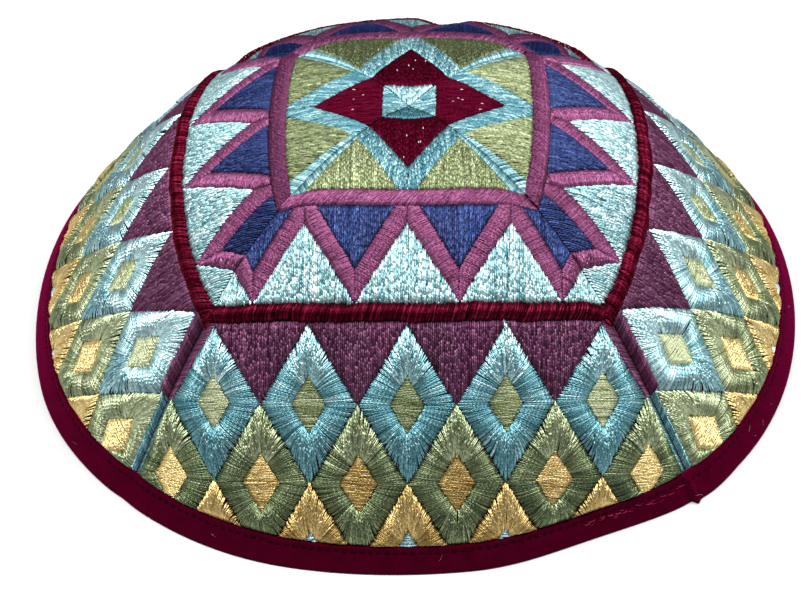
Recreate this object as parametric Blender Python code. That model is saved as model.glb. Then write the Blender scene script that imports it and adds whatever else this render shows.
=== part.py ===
"""Skullcap sewn from four embroidered cloth panels, with a raised ridge round the crown and a bound rim.

Metres, +Z up. The rim rests on z = 0, the crown's centre is over the origin, and the middle of the
front panel faces -Y. The seams run from the centre to the rim, halfway between the panels' middles.
"""

import math

import bmesh
import bpy
from mathutils import Vector

# Driving sizes of the cap
RIM_RADIUS = 0.085
CROWN_HEIGHT = 0.0585
PANEL_THICKNESS = 0.0018
TOUCH_GAP = 0.0003

# Tape folded round the rim
TAPE_WIDTH = 0.006
TAPE_THICKNESS = 0.0009
TAPE_PROUD = 0.0004
PANEL_EDGE_THICKNESS = 0.001
TAPE_FOLD_ROUND = 0.0006
TAPE_EDGE_ROUND = 0.0003

# Turned end of the tape, lying over its start
LAP_AZIMUTH = math.radians(44)
LAP_LENGTH = 0.014
LAP_THICKNESS = 0.0007

# Satin-stitched ridge that runs straight across each panel
RIDGE_FROM_CENTRE = 0.0537
RIDGE_WIDTH = 0.004
RIDGE_HEIGHT = 0.001

# Seams pull the cloth in, and leave the corners of the soft crown standing out
SEAM_DEPTH = 0.0014
SEAM_SPREAD = 0.0032
CORNER_RISE = 0.0008
CORNER_SHARE = 0.0189

# The worked rows curve in towards the crown's centre at the seams: a share of width squared over radius
ROW_BOW = 0.15

PANELS = 4
PANEL_ANGLE = 2 * math.pi / PANELS
FACINGS = {"front": 0, "right": 1, "back": 2, "left": 3}

# Section through the crown: how far down the cloth, radius and height, as shares of the sizes above
PROFILE = (
    # down, radius, height
    (0.00, 0.000, 1.000),
    (0.10, 0.129, 0.995),
    (0.20, 0.256, 0.974),
    (0.30, 0.379, 0.921),
    (0.40, 0.495, 0.839),
    (0.50, 0.598, 0.727),
    (0.60, 0.689, 0.595),
    (0.75, 0.812, 0.379),
    (1.00, 1.000, 0.000),
)

# How deep the seams lie on the way down
SEAM_DEPTHS = (
    # down, share of the depth
    (0.00, 0.0),
    (0.15, 0.4),
    (0.35, 1.0),
    (0.60, 1.0),
    (0.80, 0.6),
    (1.00, 0.15),
)

# The soft rim isn't a true circle: waves round it, as shares of the radius
RIM_WAVES = (
    # waves, towards the front, towards the right
    (1, -0.0084, -0.0058),
    (2, -0.0049, 0.0017),
    (3, 0.0020, -0.0059),
)

# Places where the soft cloth is pressed in, with the depth as a share of the radius
DENTS = (
    # azimuth, half width, down, half height, depth
    (math.radians(29), math.radians(20), 1.00, 0.16, 0.0294),
    (math.radians(-45), math.radians(28), 1.00, 0.30, 0.0160),
    (math.radians(180), math.radians(70), 0.54, 0.24, 0.0240),
)

# How finely the cloth is divided
COLUMNS = 18
PANEL_ROWS = 22
RIDGE_ARCH_POINTS = 7
SLOPE_STEP = 1e-4
WELD = 1e-6
SHARP_ANGLE = math.radians(35)

# Search for the place down the cloth where it meets the floor, and for where a row meets the seam
FLOOR_SEARCH = (0.9, 1.1)
HALVINGS = 40

TEXTILES = {
    # name: colour, roughness, sheen
    "embroidered_cloth": ((0.18, 0.42, 0.46), 0.7, 0.4),
    "ridge_satin": ((0.22, 0.005, 0.03), 0.45, 0.2),
    "tape_cotton": ((0.16, 0.004, 0.045), 0.8, 0.3),
}


def smooth_table(table, column, at):
    """The table's column at the first column's value `at`: a smooth curve through the rows."""
    last = len(table) - 1
    low = 0
    while low < last - 1 and at > table[low + 1][0]:
        low += 1

    def slope(row):
        before, after = max(row - 1, 0), min(row + 1, last)
        return (table[after][column] - table[before][column]) / (table[after][0] - table[before][0])

    span = table[low + 1][0] - table[low][0]
    part = (at - table[low][0]) / span
    start, end = table[low][column], table[low + 1][column]
    if part > 1:
        return end + (at - table[low + 1][0]) * slope(last)
    rise = (3 - 2 * part) * part * part
    leaving = part * (1 - part) ** 2 * slope(low) * span
    arriving = part * part * (1 - part) * slope(low + 1) * span
    return start + (end - start) * rise + leaving - arriving


def bell(offset, half_width):
    """1 at the middle, falling smoothly to 0 at half_width."""
    part = min(abs(offset) / half_width, 1)
    return (1 + math.cos(math.pi * part)) / 2


def turn_from(azimuth, middle):
    """The signed angle from `middle` round to `azimuth`, at most half a turn."""
    return (azimuth - middle + math.pi) % (2 * math.pi) - math.pi


def circle_radius(down):
    """The crown's mean radius at a share of the way down the cloth."""
    return RIM_RADIUS * smooth_table(PROFILE, 1, down)


def measure_meridian(steps=200):
    """Length of the cloth from the crown's centre to the rim."""
    length = 0
    before = Vector((0, CROWN_HEIGHT))
    for step in range(1, steps + 1):
        down = step / steps
        here = Vector((circle_radius(down), CROWN_HEIGHT * smooth_table(PROFILE, 2, down)))
        length += (here - before).length
        before = here
    return length


CROWN_LENGTH = measure_meridian()


def seam_dip(azimuth, down):
    """How far the nearest seam draws the cloth in."""
    from_middle = abs(turn_from(azimuth, round(azimuth / PANEL_ANGLE) * PANEL_ANGLE))
    from_seam = (PANEL_ANGLE / 2 - from_middle) * circle_radius(down)
    depth = SEAM_DEPTH * smooth_table(SEAM_DEPTHS, 1, down)
    return depth * math.exp(-((from_seam / SEAM_SPREAD) ** 2))


def plain_crown_point(azimuth, down):
    """A point of the crown's outer face, before the seams draw it in."""
    corner = -math.cos(PANELS * azimuth)
    hump = 4 * down * (1 - down)
    stretch = 1 + CORNER_SHARE * corner * down**2
    for waves, forward, sideways in RIM_WAVES:
        stretch += down**3 * (forward * math.cos(waves * azimuth) + sideways * math.sin(waves * azimuth))
    for middle, half_width, level, half_height, depth in DENTS:
        stretch -= depth * bell(turn_from(azimuth, middle), half_width) * bell(down - level, half_height)
    radius = circle_radius(down) * stretch
    height = CROWN_HEIGHT * smooth_table(PROFILE, 2, down) + CORNER_RISE * corner * hump
    return Vector((radius * math.sin(azimuth), -radius * math.cos(azimuth), height))


def crown_normal(azimuth, down):
    """Unit normal, pointing out of the cap."""
    if down < SLOPE_STEP:
        return Vector((0, 0, 1))
    along = plain_crown_point(azimuth, down + SLOPE_STEP) - plain_crown_point(azimuth, down - SLOPE_STEP)
    across = plain_crown_point(azimuth + SLOPE_STEP, down) - plain_crown_point(azimuth - SLOPE_STEP, down)
    return along.cross(across).normalized()


def crown_point(azimuth, down, lift):
    """A point `lift` outside the crown's outer face, seams included."""
    out = lift - seam_dip(azimuth, down)
    return plain_crown_point(azimuth, down) + crown_normal(azimuth, down) * out


def floor_share(azimuth, lift):
    """How far down the cloth, at this lift, the floor lies."""
    low, high = FLOOR_SEARCH
    for _ in range(HALVINGS):
        middle = (low + high) / 2
        if crown_point(azimuth, middle, lift).z > 0:
            low = middle
        else:
            high = middle
    return (low + high) / 2


def rim_point(azimuth, up, lift):
    """A point `up` from the floor along the wall, `lift` outside the crown's outer face."""
    point = crown_point(azimuth, floor_share(azimuth, lift) - up / CROWN_LENGTH, lift)
    if up == 0:
        point.z = 0
    return point


def row_place(across, row_distance):
    """Azimuth from the panel's middle, and share down, of a point on the row that far from the centre.

    The flat panel's angles open as the crown curves in, so that lengths over the cloth are kept.
    """
    along = row_distance - ROW_BOW * across**2 / RIM_RADIUS
    distance = math.hypot(across, along)
    down = distance / CROWN_LENGTH
    return math.atan2(across, along) * distance / circle_radius(down), down


def row_reach(row_distance):
    """Half of a row's length, from the panel's middle to the seam."""
    low, high = 0, 2 * RIM_RADIUS
    for _ in range(HALVINGS):
        middle = (low + high) / 2
        if row_place(middle, row_distance)[0] < PANEL_ANGLE / 2:
            low = middle
        else:
            high = middle
    return (low + high) / 2


def column_share(column):
    """Place of a column between a panel's seams, from -1 to 1, with the columns closer near the seams."""
    return math.sin(math.pi * (column / COLUMNS - 0.5))


def sheet(columns, rows, place):
    """A grid whose corner (column, row) lies at place(column, row), with those numbers kept as layers."""
    mesh = bmesh.new()
    column_layer = mesh.verts.layers.float.new("column")
    row_layer = mesh.verts.layers.float.new("row")
    bmesh.ops.create_grid(mesh, x_segments=columns, y_segments=rows, size=0.5)
    for corner in mesh.verts:
        corner[column_layer] = round((corner.co.x + 0.5) * columns)
        corner[row_layer] = round((corner.co.y + 0.5) * rows)
        corner.co = place(int(corner[column_layer]), int(corner[row_layer]))
    return mesh


def backed(mesh, place):
    """Gives the sheet a back, whose corners lie at place(column, row)."""
    column_layer = mesh.verts.layers.float["column"]
    row_layer = mesh.verts.layers.float["row"]
    made = bmesh.ops.extrude_face_region(mesh, geom=mesh.faces[:], use_keep_orig=True)
    for corner in made["geom"]:
        if isinstance(corner, bmesh.types.BMVert):
            corner.co = place(int(corner[column_layer]), int(corner[row_layer]))
    return mesh


def finish(name, mesh, material, collection):
    """Welds and closes the mesh and makes it a named object."""
    bmesh.ops.remove_doubles(mesh, verts=mesh.verts[:], dist=WELD)
    open_edges = [edge for edge in mesh.edges if edge.is_boundary]
    if open_edges:
        bmesh.ops.holes_fill(mesh, edges=open_edges, sides=0)
    bmesh.ops.recalc_face_normals(mesh, faces=mesh.faces[:])
    data = bpy.data.meshes.new(name)
    mesh.to_mesh(data)
    mesh.free()
    data.shade_smooth()
    data.set_sharp_from_angle(angle=SHARP_ANGLE)
    data.materials.append(material)
    made = bpy.data.objects.new(name, data)
    collection.objects.link(made)
    return made


def textile(name):
    """A dyed textile: matt, with a little sheen at the edges."""
    colour, roughness, sheen = TEXTILES[name]
    material = bpy.data.materials.new(name)
    material.use_nodes = True
    shader = material.node_tree.nodes["Principled BSDF"]
    shader.inputs["Base Color"].default_value = (*colour, 1)
    shader.inputs["Roughness"].default_value = roughness
    shader.inputs["Metallic"].default_value = 0
    shader.inputs["Sheen Weight"].default_value = sheen
    return material


def panel(side, facing, material, collection):
    """A cloth wall from the crown's centre to the rim, thinner where the tape grips it."""
    middle = facing * PANEL_ANGLE
    tip = TOUCH_GAP / 2 / math.sin(PANEL_ANGLE / 2) / CROWN_LENGTH
    held_lift = TAPE_PROUD - TAPE_THICKNESS - TOUCH_GAP
    held_top = TAPE_WIDTH + TOUCH_GAP
    shoulder = held_top + PANEL_THICKNESS / 2
    bottom = TAPE_THICKNESS + TOUCH_GAP
    held_rows = (held_top, (held_top + bottom) / 2, bottom)

    def half_angle(down):
        return PANEL_ANGLE / 2 - math.asin(TOUCH_GAP / 2 / circle_radius(down))

    def place(column, row, back):
        if row >= PANEL_ROWS:
            azimuth = middle + column_share(column) * half_angle(1)
            lift = held_lift - (PANEL_EDGE_THICKNESS if back else 0)
            return rim_point(azimuth, held_rows[row - PANEL_ROWS], lift)
        lift = -PANEL_THICKNESS if back else 0
        if row == 0:
            return crown_point(middle, tip, lift)
        lowest = floor_share(middle + column_share(column) * half_angle(1), lift) - shoulder / CROWN_LENGTH
        down = tip + (lowest - tip) * row / (PANEL_ROWS - 1)
        return crown_point(middle + column_share(column) * half_angle(down), down, lift)

    mesh = sheet(COLUMNS, PANEL_ROWS + len(held_rows) - 1, lambda column, row: place(column, row, False))
    backed(mesh, lambda column, row: place(column, row, True))
    return finish(f"panel_{side}", mesh, material, collection)


def ridge(side, facing, material, collection):
    """A padded ridge of satin stitch with a flat foot and a round back, mitred at the seams."""
    half = RIDGE_WIDTH / 2
    outline = [(-half, TOUCH_GAP), (half, TOUCH_GAP)]
    for step in range(RIDGE_ARCH_POINTS):
        angle = math.pi * (step + 0.5) / RIDGE_ARCH_POINTS
        outline.append((half * math.cos(angle), TOUCH_GAP + RIDGE_HEIGHT * math.sin(angle)))

    def place(column, point):
        off_row, lift = outline[point % len(outline)]
        row_distance = RIDGE_FROM_CENTRE + off_row
        across = column_share(column) * (row_reach(row_distance) - TOUCH_GAP)
        azimuth, down = row_place(across, row_distance)
        return crown_point(facing * PANEL_ANGLE + azimuth, down, lift)

    return finish(f"ridge_{side}", sheet(COLUMNS, len(outline), place), material, collection)


def tape_outline(lap):
    """The folded tape's section as (up, lift) pairs: outer leg, fold on the floor, inner leg and slot."""
    outer = TAPE_PROUD + lap
    slot_outer = TAPE_PROUD - TAPE_THICKNESS
    slot_inner = slot_outer - 2 * TOUCH_GAP - PANEL_EDGE_THICKNESS
    inner = slot_inner - TAPE_THICKNESS
    fold, soft = TAPE_FOLD_ROUND, TAPE_EDGE_ROUND
    bevel = fold * (1 - math.cos(math.pi / 4))
    return (
        (TAPE_WIDTH, slot_outer),
        (TAPE_WIDTH, outer - soft),
        (TAPE_WIDTH - soft, outer),
        (fold, outer),
        (bevel, outer - bevel),
        (0, outer - fold),
        (0, inner + fold),
        (bevel, inner + bevel),
        (fold, inner),
        (TAPE_WIDTH - soft, inner),
        (TAPE_WIDTH, inner + soft),
        (TAPE_WIDTH, slot_inner),
        (TAPE_THICKNESS, slot_inner),
        (TAPE_THICKNESS, slot_outer),
    )


def lap_at(azimuth):
    """Extra thickness of the turned end: a step at LAP_AZIMUTH that tapers away along the tape."""
    past = (azimuth - LAP_AZIMUTH) % (2 * math.pi) * RIM_RADIUS
    return LAP_THICKNESS * max(1 - past / LAP_LENGTH, 0)


def rim_tape(material, collection):
    """Bias tape folded round the panels' edges, one closed ring with its turned end lapped."""
    azimuths = [facing * PANEL_ANGLE + column_share(column) * PANEL_ANGLE / 2
                for facing in range(PANELS) for column in range(COLUMNS)]
    azimuths = [LAP_AZIMUTH + (azimuth - LAP_AZIMUTH) % (2 * math.pi) for azimuth in azimuths]
    azimuths += [LAP_AZIMUTH, LAP_AZIMUTH + 2 * math.pi - TAPE_FOLD_ROUND / RIM_RADIUS]
    azimuths.sort()
    points = len(tape_outline(0))

    def place(column, row):
        azimuth = azimuths[column % len(azimuths)]
        up, lift = tape_outline(lap_at(azimuth))[row % points]
        return rim_point(azimuth, up, lift)

    return finish("rim_tape", sheet(len(azimuths), points, place), material, collection)


def clear_scene():
    for old in list(bpy.data.objects):
        bpy.data.objects.remove(old, do_unlink=True)


def build():
    clear_scene()
    collection = bpy.data.collections.new("skullcap")
    bpy.context.scene.collection.children.link(collection)
    cloth, satin, tape = [textile(name) for name in TEXTILES]
    for side, facing in FACINGS.items():
        panel(side, facing, cloth, collection)
        ridge(side, facing, satin, collection)
    rim_tape(tape, collection)


build()
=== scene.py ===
"""Embroidered skullcap, standing on a pale floor and seen from the front and above."""

import math

import bpy
import numpy as np
from mathutils import Matrix, Vector


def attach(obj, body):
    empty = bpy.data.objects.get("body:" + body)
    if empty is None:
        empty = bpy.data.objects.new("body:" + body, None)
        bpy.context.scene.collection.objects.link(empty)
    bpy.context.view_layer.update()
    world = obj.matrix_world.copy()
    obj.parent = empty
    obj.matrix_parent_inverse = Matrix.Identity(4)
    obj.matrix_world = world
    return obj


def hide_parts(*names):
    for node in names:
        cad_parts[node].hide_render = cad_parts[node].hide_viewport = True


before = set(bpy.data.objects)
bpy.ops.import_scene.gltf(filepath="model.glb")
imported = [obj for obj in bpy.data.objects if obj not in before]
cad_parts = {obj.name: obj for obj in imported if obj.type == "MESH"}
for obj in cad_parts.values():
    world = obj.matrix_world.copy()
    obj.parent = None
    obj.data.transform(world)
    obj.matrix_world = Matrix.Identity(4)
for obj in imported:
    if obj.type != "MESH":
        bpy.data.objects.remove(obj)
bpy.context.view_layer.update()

# The wall of the cap: four quarter panels of plain wine-red cotton, cut flat, embroidered, then
# sewn to one another along seams that run from the crown's centre to the rim. The bare cotton
# shows on the inside, and as dark ground between the stitches outside.
RIM_RADIUS = 0.085
CROWN_HEIGHT = 0.0585
PANEL_THICKNESS = 0.0018
TOUCH_GAP = 0.0003
GROUND_LIFT = -0.0004
SEAM_DEPTH = 0.0014
SEAM_SPREAD = 0.0032
CORNER_RISE = 0.0008
CORNER_SHARE = 0.0189
ROW_BOW = 0.15
PANELS = 4
PANEL_ANGLE = 2 * math.pi / PANELS
FACINGS = {"front": 0, "right": 1, "back": 2, "left": 3}
PROFILE = (
    # down, radius, height
    (0.00, 0.000, 1.000),
    (0.10, 0.129, 0.995),
    (0.20, 0.256, 0.974),
    (0.30, 0.379, 0.921),
    (0.40, 0.495, 0.839),
    (0.50, 0.598, 0.727),
    (0.60, 0.689, 0.595),
    (0.75, 0.812, 0.379),
    (1.00, 1.000, 0.000),
)
SEAM_DEPTHS = (
    # down, share of the depth
    (0.00, 0.0),
    (0.15, 0.4),
    (0.35, 1.0),
    (0.60, 1.0),
    (0.80, 0.6),
    (1.00, 0.15),
)
RIM_WAVES = (
    # waves, towards the front, towards the right
    (1, -0.0084, -0.0058),
    (2, -0.0049, 0.0017),
    (3, 0.0020, -0.0059),
)
DENTS = (
    # azimuth, half width, down, half height, depth
    (math.radians(29), math.radians(20), 1.00, 0.16, 0.0294),
    (math.radians(-45), math.radians(28), 1.00, 0.30, 0.0160),
    (math.radians(180), math.radians(70), 0.54, 0.24, 0.0240),
)
DIMPLE_DEPTH = 0.0013
DIMPLE_REACH = 0.075
BACK_CREASE = math.radians(172), math.radians(8), 0.46, 0.2, 0.0015
SLOPE_STEP = 1e-4
CLOTH_COLUMNS = 56
CLOTH_ROWS = 66
HALVINGS = 24


def smooth_table(table, column, at):
    """The table's column where its first column is `at`: a smooth curve through the rows."""
    rows = np.array(table)
    places, values = rows[:, 0], rows[:, column]
    slopes = np.empty(len(rows))
    slopes[1:-1] = (values[2:] - values[:-2]) / (places[2:] - places[:-2])
    slopes[[0, -1]] = (values[[1, -1]] - values[[0, -2]]) / (places[[1, -1]] - places[[0, -2]])
    low = np.clip(np.searchsorted(places, at) - 1, 0, len(rows) - 2)
    span = places[low + 1] - places[low]
    part = (at - places[low]) / span
    rise = (values[low + 1] - values[low]) * (3 - 2 * part) * part**2
    bend = part * (1 - part) ** 2 * slopes[low] - part**2 * (1 - part) * slopes[low + 1]
    past = values[low + 1] + (at - places[low + 1]) * slopes[low + 1]
    return np.where(part > 1, past, values[low] + rise + bend * span)


def bell(offset, half_width):
    return (1 + np.cos(np.pi * np.minimum(np.abs(offset) / half_width, 1))) / 2


def turn_from(azimuth, middle):
    return (azimuth - middle + np.pi) % (2 * np.pi) - np.pi


def circle_radius(down):
    return RIM_RADIUS * smooth_table(PROFILE, 1, down)


def measure_meridian(steps=200):
    down = np.linspace(0, 1, steps + 1)
    across = np.diff(circle_radius(down))
    drop = np.diff(CROWN_HEIGHT * smooth_table(PROFILE, 2, down))
    return float(np.hypot(across, drop).sum())


CROWN_LENGTH = measure_meridian()


def hollow(azimuth, down, dent):
    middle, half_width, level, half_height, depth = dent
    return depth * bell(turn_from(azimuth, middle), half_width) * bell(down - level, half_height)


def plain_crown(azimuth, down):
    """Points of the crown's outer face, before the seams draw it in."""
    corner = -np.cos(PANELS * azimuth)
    stretch = 1 + CORNER_SHARE * corner * down**2
    for waves, forward, sideways in RIM_WAVES:
        wave = forward * np.cos(waves * azimuth) + sideways * np.sin(waves * azimuth)
        stretch = stretch + down**3 * wave
    for dent in DENTS:
        stretch = stretch - hollow(azimuth, down, dent)
    radius = circle_radius(down) * stretch
    height = CROWN_HEIGHT * smooth_table(PROFILE, 2, down)
    height = height + CORNER_RISE * corner * 4 * down * (1 - down)
    return np.stack([radius * np.sin(azimuth), -radius * np.cos(azimuth), height], axis=-1)


def crown_normal(azimuth, down):
    down = np.maximum(down, 2 * SLOPE_STEP)
    along = plain_crown(azimuth, down + SLOPE_STEP) - plain_crown(azimuth, down - SLOPE_STEP)
    across = plain_crown(azimuth + SLOPE_STEP, down) - plain_crown(azimuth - SLOPE_STEP, down)
    normal = np.cross(along, across)
    return normal / np.linalg.norm(normal, axis=-1, keepdims=True)


def seam_dip(azimuth, down):
    from_middle = np.abs(turn_from(azimuth, np.round(azimuth / PANEL_ANGLE) * PANEL_ANGLE))
    from_seam = (PANEL_ANGLE / 2 - from_middle) * circle_radius(down)
    share = smooth_table(SEAM_DEPTHS, 1, down)
    return SEAM_DEPTH * share * np.exp(-((from_seam / SEAM_SPREAD) ** 2))


def crown(azimuth, down, lift):
    """Points `lift` outside the outer face, with its seams, its dimple and a crease at the back."""
    azimuth, down, lift = np.broadcast_arrays(azimuth, down, lift)
    out = lift - seam_dip(azimuth, down) - DIMPLE_DEPTH * bell(down, DIMPLE_REACH)
    out = out - hollow(azimuth, down, BACK_CREASE)
    return plain_crown(azimuth, down) + crown_normal(azimuth, down) * out[..., None]


def floor_share(azimuth, lift):
    """How far down the cloth, at this lift, the floor lies."""
    azimuth, lift = np.broadcast_arrays(azimuth, lift)
    low, high = np.full(azimuth.shape, 0.9), np.full(azimuth.shape, 1.1)
    for _ in range(HALVINGS):
        middle = (low + high) / 2
        above = crown(azimuth, middle, lift)[..., 2] > 0
        low, high = np.where(above, middle, low), np.where(above, high, middle)
    return (low + high) / 2


def grid_mesh(name, places, loops_across=False, loops_along=False, flat=None):
    """A mesh through a grid of places (rows, columns, 3), closed on itself where asked."""
    rows, columns = places.shape[:2]
    numbers = np.arange(rows * columns).reshape(rows, columns)
    if loops_along:
        numbers = np.vstack([numbers, numbers[:1]])
    if loops_across:
        numbers = np.hstack([numbers, numbers[:, :1]])
    corners = [numbers[:-1, :-1], numbers[1:, :-1], numbers[1:, 1:], numbers[:-1, 1:]]
    quads = np.stack(corners, -1).reshape(-1, 4)
    mesh = bpy.data.meshes.new(name)
    mesh.from_pydata(places.reshape(-1, 3), [], quads)
    if flat is not None:
        layer = mesh.uv_layers.new(name="flat")
        layer.data.foreach_set("uv", flat.reshape(-1, 2)[quads.ravel()].ravel())
    mesh.shade_smooth()
    return mesh


def place_piece(name, mesh, material, nodes=()):
    piece = bpy.data.objects.new(name, mesh)
    bpy.context.scene.collection.objects.link(piece)
    mesh.materials.append(material)
    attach(piece, "root")
    if nodes:
        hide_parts(*nodes)
    return piece


class Wire:
    """One output of a node. Sums on it add Math nodes to its material."""

    def __init__(self, tree, socket=None):
        self.tree, self.socket = tree, socket

    def node(self, kind, settings, sockets, out=0):
        made = self.tree.nodes.new("ShaderNode" + kind)
        for key, value in settings.items():
            setattr(made, key, value)
        for key, value in sockets.items():
            if isinstance(value, Wire):
                self.tree.links.new(value.socket, made.inputs[key])
            else:
                made.inputs[key].default_value = value
        return Wire(self.tree, made.outputs[out])

    def maths(self, operation, *values):
        return self.node("Math", {"operation": operation}, dict(enumerate(values)))

    def blend(self, first, second):
        """From the first colour to the second as this wire goes from 0 to 1."""
        return self.node("Mix", {"data_type": "RGBA"}, {0: self, 6: first, 7: second}, 2)

    def spread(self, low, high, to_low=0.0, to_high=1.0):
        return self.node("MapRange", {}, {0: self, 1: low, 2: high, 3: to_low, 4: to_high})

    def __add__(self, other):
        return self.maths("ADD", self, other)

    def __sub__(self, other):
        return self.maths("SUBTRACT", self, other)

    def __rsub__(self, other):
        return self.maths("SUBTRACT", other, self)

    def __mul__(self, other):
        return self.maths("MULTIPLY", self, other)

    __radd__ = __add__
    __rmul__ = __mul__


def textile(name, dress, values):
    """A material: its Principled shader takes plain values, and the wires dress(wire) returns."""
    material = bpy.data.materials.new(name)
    material.use_nodes = True
    tree = material.node_tree
    shader = tree.nodes["Principled BSDF"]
    for key, value in values.items():
        shader.inputs[key].default_value = value
    for key, value in dress(Wire(tree)).items():
        tree.links.new(value.socket, shader.inputs[key])
    return material


FUZZ_SCALE = 5200.0
MOTTLE_SCALE = 260.0
WEAVE_RELIEF = 0.00008


def plain_weave(dark, light, thread):
    """Dyed cotton: over-and-under weave `thread` metres apart, soft mottling and a little fuzz."""

    def dress(wire):
        flat = wire.node("UVMap", {"uv_map": "flat"}, {})
        warp, weft = (wire.node("SeparateXYZ", {}, {0: flat}, part) for part in (0, 1))
        turns = math.pi / thread
        over = wire.maths("SINE", warp * turns) * wire.maths("SINE", weft * turns)
        fuzz = wire.node("TexNoise", {}, {"Vector": flat, "Scale": FUZZ_SCALE, "Detail": 3.0})
        mottle = wire.node("TexNoise", {}, {"Vector": flat, "Scale": MOTTLE_SCALE, "Detail": 4.0})
        shade = mottle * 0.6 + fuzz * 0.5 + over * 0.12
        colour = shade.spread(0.3, 0.85).blend((*dark, 1), (*light, 1))
        relief = {"Height": over * 0.6 + fuzz * 0.5, "Distance": WEAVE_RELIEF, "Strength": 0.8}
        return {"Base Color": colour, "Normal": wire.node("Bump", {}, relief)}

    return dress


COTTON_DARK = (0.05, 0.003, 0.012)
COTTON_LIGHT = (0.11, 0.007, 0.028)
COTTON_THREAD = 0.00045
panel_cotton = textile("panel_cotton", plain_weave(COTTON_DARK, COTTON_LIGHT, COTTON_THREAD),
                       {"Roughness": 0.9, "Specular IOR Level": 0.1})

# The panel's edge is thinner where the rim tape grips it.
TAPE_WIDTH = 0.006
TAPE_THICKNESS = 0.0009
TAPE_PROUD = 0.0004
PANEL_EDGE_THICKNESS = 0.001
HELD_LIFT = TAPE_PROUD - TAPE_THICKNESS - TOUCH_GAP
HELD_TOP = TAPE_WIDTH + TOUCH_GAP
HELD_SHOULDER = HELD_TOP + PANEL_THICKNESS / 2
HELD_BOTTOM = TAPE_THICKNESS + TOUCH_GAP
HELD_ROWS = 3
TIP_ANGLE_SINE = 0.7


def cloth_side(facing, back):
    """Places and flat coordinates of one face of a panel, from the crown's centre to the rim."""
    tip = TOUCH_GAP / math.sqrt(2) / CROWN_LENGTH
    share = np.sin(np.pi * (np.arange(CLOTH_COLUMNS + 1) / CLOTH_COLUMNS - 0.5))
    lift = -PANEL_THICKNESS if back else GROUND_LIFT
    held_lift = HELD_LIFT - (PANEL_EDGE_THICKNESS if back else 0)
    rim = facing * PANEL_ANGLE + share * PANEL_ANGLE / 2
    lowest = floor_share(rim, lift) - HELD_SHOULDER / CROWN_LENGTH
    down = tip + (lowest - tip) * np.linspace(0, 1, CLOTH_ROWS)[:, None]
    gap_sine = np.minimum(TOUCH_GAP / 2 / circle_radius(down), TIP_ANGLE_SINE)
    half_angle = PANEL_ANGLE / 2 - np.arcsin(gap_sine)
    azimuth = facing * PANEL_ANGLE + share * half_angle
    places = crown(azimuth, down, lift)
    ups = np.linspace(HELD_TOP, HELD_BOTTOM, HELD_ROWS)[:, None]
    held_down = floor_share(rim, held_lift) - ups / CROWN_LENGTH
    held_azimuth = np.broadcast_to(azimuth[-1], held_down.shape)
    places = np.concatenate([places, crown(held_azimuth, held_down, held_lift)])
    along = np.concatenate([down, held_down]) * CROWN_LENGTH
    turn = np.concatenate([azimuth, held_azimuth]) - facing * PANEL_ANGLE
    return places, np.stack([np.sin(turn) * along, np.cos(turn) * along], -1)


for side, facing in FACINGS.items():
    outside, outside_flat = cloth_side(facing, False)
    inside, inside_flat = cloth_side(facing, True)
    ring = np.concatenate([outside, inside[:, ::-1]], axis=1)
    ring_flat = np.concatenate([outside_flat, inside_flat[:, ::-1]], axis=1)
    mesh = grid_mesh(f"cloth_{side}", ring, loops_across=True, flat=ring_flat)
    place_piece(f"cloth_{side}", mesh, panel_cotton, [f"panel_{side}"])

# The embroidery: glossy two-ply rayon, worked by machine on the flat panels before they were sewn
# up. Every stitch is its own ribbon, laid out in millimetres on the flat panel, with u across it
# and w from the crown's centre to the rim, and carried on to the crown with the cloth.
MM = 0.001
STITCH_CROWN = 0.55
STITCH_ARCH = 0.15
STITCH_BASE = 0.02
STITCH_BOW = 0.05
STITCH_LOOSENESS = 0.035
STITCH_TONE = 0.6
RUN_TONE = 0.4
OVERLAP = 0.3
DIVE = 0.2
END_SHARE = 0.09
END_TAPER = 0.55
SHORTEST_RUN = 0.3
SHORTEST_STITCH = 0.35
FULL_PAD_LENGTH = 3.5
FULL_ARCH_LENGTH = 3.0
TAPE_CLEARANCE = 0.15
TRIM_STEPS = 40
TRIM_HALVINGS = 7
BAKE_GAP_ALONG = 0.08
BAKE_GAP_ACROSS = 0.15
rng = np.random.default_rng(11)


def row_place(u, w):
    """Azimuth from the panel's middle and share down of a flat place. Rows bend in to the seams."""
    across, row = u * MM, w * MM
    along = row - ROW_BOW * across**2 / RIM_RADIUS
    distance = np.hypot(across, along)
    down = distance / CROWN_LENGTH
    return np.arctan2(across, along) * distance / np.maximum(circle_radius(down), 1e-9), down


EDGE_AZIMUTHS = np.linspace(-np.pi, np.pi, 721)
EDGE_DOWNS = floor_share(EDGE_AZIMUTHS, 0.0) - TAPE_WIDTH / CROWN_LENGTH


def on_panel(facing, u, w, margin):
    """Whether flat places lie `margin` millimetres or more inside the seams and above the tape."""
    azimuth, down = row_place(u, w)
    inside = (PANEL_ANGLE / 2 - np.abs(azimuth)) * circle_radius(down) > margin * MM
    edge = np.interp(turn_from(azimuth + facing * PANEL_ANGLE, 0), EDGE_AZIMUTHS, EDGE_DOWNS)
    return inside & (down < edge - TAPE_CLEARANCE * MM / CROWN_LENGTH)


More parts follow.
